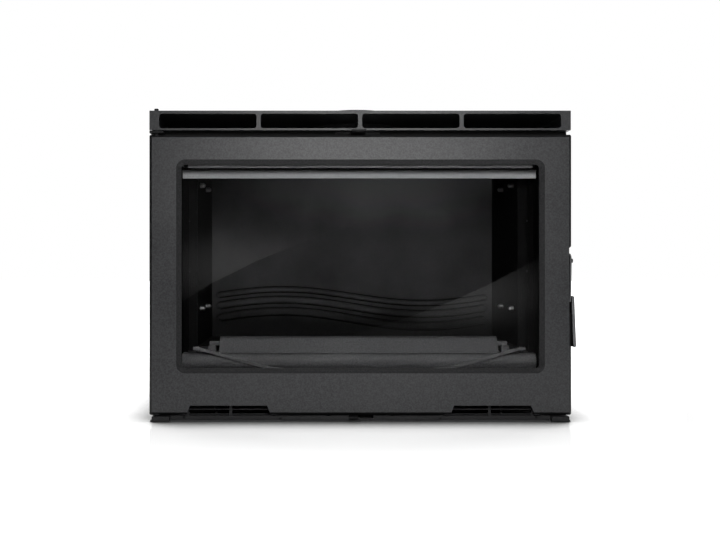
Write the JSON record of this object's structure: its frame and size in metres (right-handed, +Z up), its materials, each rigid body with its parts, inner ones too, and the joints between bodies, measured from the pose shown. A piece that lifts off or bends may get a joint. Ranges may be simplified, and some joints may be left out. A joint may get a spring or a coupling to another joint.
{
  "type": "fireplace insert",
  "caption": "Wide steel and cast iron inset stove with a glazed side-hung door, slotted vent bar, louvred plinth, lined firebox and round flue collar.",
  "frame": {"origin": "underside of the base plate, in the middle between the door's front face and the rear panel, and midway between the side panels", "axes": "+Z up, +X to the right of someone facing the door, +Y from the door towards the rear panel"},
  "size_m": [0.7092, 0.437, 0.54],
  "materials": {
    "cast_front": "matt heat-proof paint over fine cast grain",
    "cast_inner": "matt black heat-proof paint on castings",
    "liner_plate": "matt dark lining plates",
    "casing_sheet": "matt black paint on folded sheet steel",
    "plain_steel": "plain rolled steel",
    "dark_steel": "satin black paint",
    "bright_grip": "brushed stainless steel",
    "nut_steel": "blackened steel",
    "door_glass": "clear ceramic glass, polished",
    "seal_rope": "knitted glass fibre rope and tape"
  },
  "bodies": {
    "stove": {"air_duct": "casing_sheet", "air_wash_deflector": "cast_inner", "ash_pan": "plain_steel", "baffle_plate": "cast_inner", "base_plate": "casing_sheet", "cap_nut_1_left": "nut_steel", "cap_nut_1_right": "nut_steel", "cap_nut_2_left": "nut_steel", "cap_nut_2_right": "nut_steel", "cap_nut_3_left": "nut_steel", "cap_nut_3_right": "nut_steel", "cap_nut_4_left": "nut_steel", "cap_nut_4_right": "nut_steel", "casing_rear": "casing_sheet", "casing_side_left": "casing_sheet", "casing_side_right": "casing_sheet", "casing_top": "casing_sheet", "ember_guard": "cast_inner", "fire_bed": "cast_inner", "fireback": "liner_plate", "firebox_floor": "casing_sheet", "firebox_rear": "casing_sheet", "firebox_roof": "casing_sheet", "firebox_side_left": "casing_sheet", "firebox_side_right": "casing_sheet", "flue_collar": "cast_inner", "flue_flange": "cast_inner", "foot_left": "cast_front", "foot_right": "cast_front", "front_frame": "casing_sheet", "front_sill": "cast_inner", "guard_bracket_left": "cast_inner", "guard_bracket_right": "cast_inner", "latch_keeper": "plain_steel", "liner_retainer_left": "casing_sheet", "liner_retainer_right": "casing_sheet", "log_guard_bar": "cast_inner", "lower_hinge_pin": "plain_steel", "plinth_bar": "cast_front", "plinth_centre_panel": "cast_front", "plinth_grille_left": "cast_front", "plinth_grille_right": "cast_front", "side_liner_left": "liner_plate", "side_liner_right": "liner_plate", "upper_hinge_bracket": "casing_sheet", "upper_hinge_pin": "plain_steel", "vent_bar": "cast_front"},
    "door": {"door_frame": "cast_front", "door_glass": "door_glass", "glass_gasket": "seal_rope", "door_rope": "seal_rope", "glass_clamp_top": "plain_steel", "glass_clamp_bottom": "plain_steel"},
    "handle": {"handle_arm": "dark_steel", "handle_grip": "bright_grip", "handle_spindle": "plain_steel", "latch_cam": "plain_steel"},
    "upper_slider": {"upper_air_slider": "plain_steel"},
    "lower_slider": {"lower_air_slider": "plain_steel"},
    "fire_grate": {"grate": "cast_inner"}
  },
  "joints": [
    {"name": "door_hinge", "type": "hinge", "parent": "stove", "child": "door", "pos_m": [-0.338, -0.2005, 0.25], "axis": [0, 0, -1], "range_deg": [0, 105]},
    {"name": "handle_turn", "type": "hinge", "parent": "door", "child": "handle", "pos_m": [0.34, -0.1965, 0.2675], "axis": [-1, 0, 0], "range_deg": [0, 70]},
    {"name": "upper_air_slide", "type": "slide", "parent": "stove", "child": "upper_slider", "axis": [1, 0, 0], "range_m": [-0.025, 0.025]},
    {"name": "lower_air_slide", "type": "slide", "parent": "stove", "child": "lower_slider", "axis": [1, 0, 0], "range_m": [0, 0.025]},
    {"name": "grate_lift", "type": "slide", "parent": "stove", "child": "fire_grate", "axis": [0, 0, 1], "range_m": [0, 0.08]}
  ]
}
